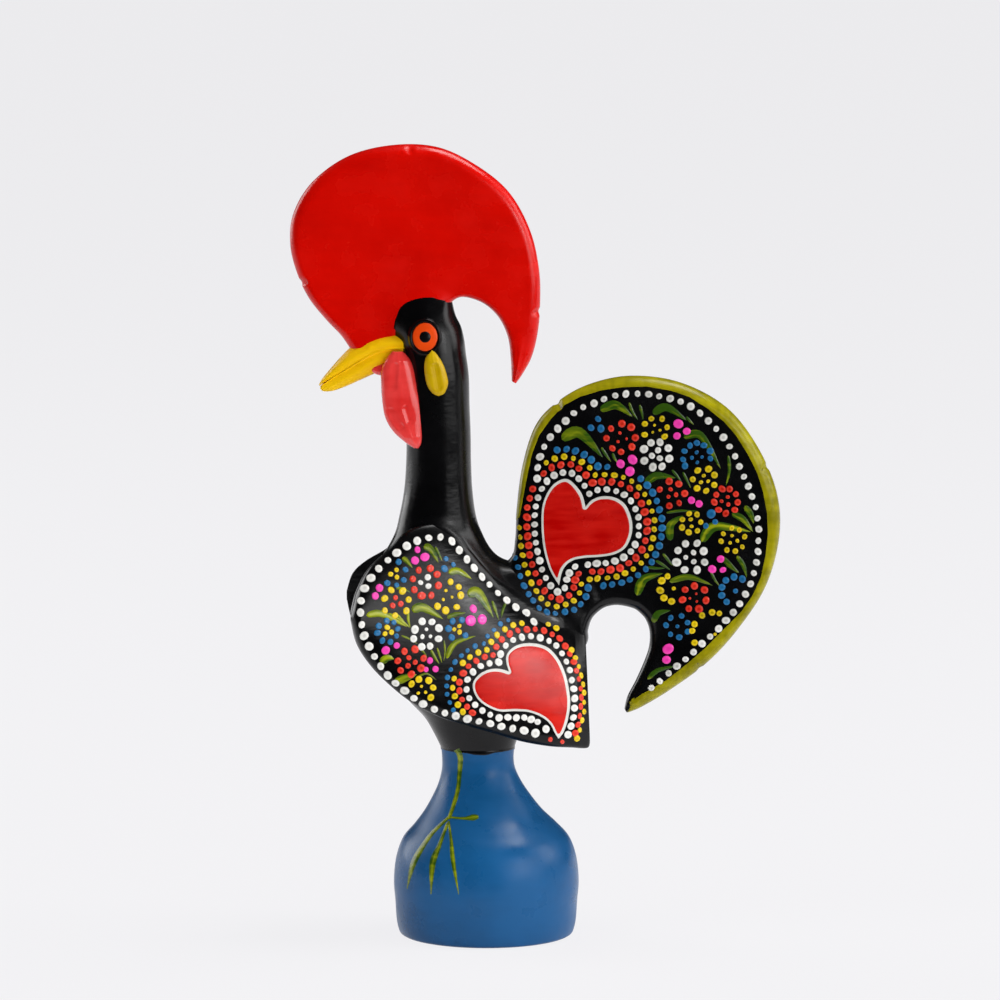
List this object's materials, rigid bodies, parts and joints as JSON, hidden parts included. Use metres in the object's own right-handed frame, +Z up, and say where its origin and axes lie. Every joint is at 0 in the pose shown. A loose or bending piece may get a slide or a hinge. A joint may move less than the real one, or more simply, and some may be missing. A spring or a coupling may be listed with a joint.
{
  "type": "rooster figurine",
  "caption": "Hand-painted clay rooster of Barcelos with a hooked crest, sickle tail and flower and heart pattern, on a hollow bell-shaped foot.",
  "frame": {"origin": "centre of the foot ring, on the surface the rooster stands on", "axes": "+Z up; -X towards the beak, +X towards the tail; -Y is the rooster's left side"},
  "size_m": [0.1732, 0.0658, 0.2824],
  "materials": {
    "blue_enamel": "semi-gloss blue enamel paint on red earthenware",
    "black_enamel": "gloss black enamel paint on red earthenware",
    "red_enamel": "gloss red enamel paint on red earthenware",
    "yellow_enamel": "satin yellow enamel paint",
    "orange_enamel": "gloss orange enamel paint",
    "white_paint": "raised dots and lines of white paint",
    "light_blue_paint": "raised dots of blue paint",
    "green_paint": "brushed yellow-green paint",
    "pink_paint": "raised dots of pink paint"
  },
  "bodies": {
    "root": {"pedestal": "blue_enamel", "body": "black_enamel", "neck": "black_enamel", "head": "black_enamel", "crest": "red_enamel", "tail": "black_enamel", "wing_left": "black_enamel", "wing_right": "black_enamel", "beak_upper": "yellow_enamel", "beak_lower": "yellow_enamel", "wattle_left": "red_enamel", "wattle_right": "red_enamel", "eye_left": "orange_enamel", "eye_right": "orange_enamel", "pupil_left": "black_enamel", "pupil_right": "black_enamel", "ear_lobe_left": "yellow_enamel", "ear_lobe_right": "yellow_enamel"}
  },
  "joints": []
}
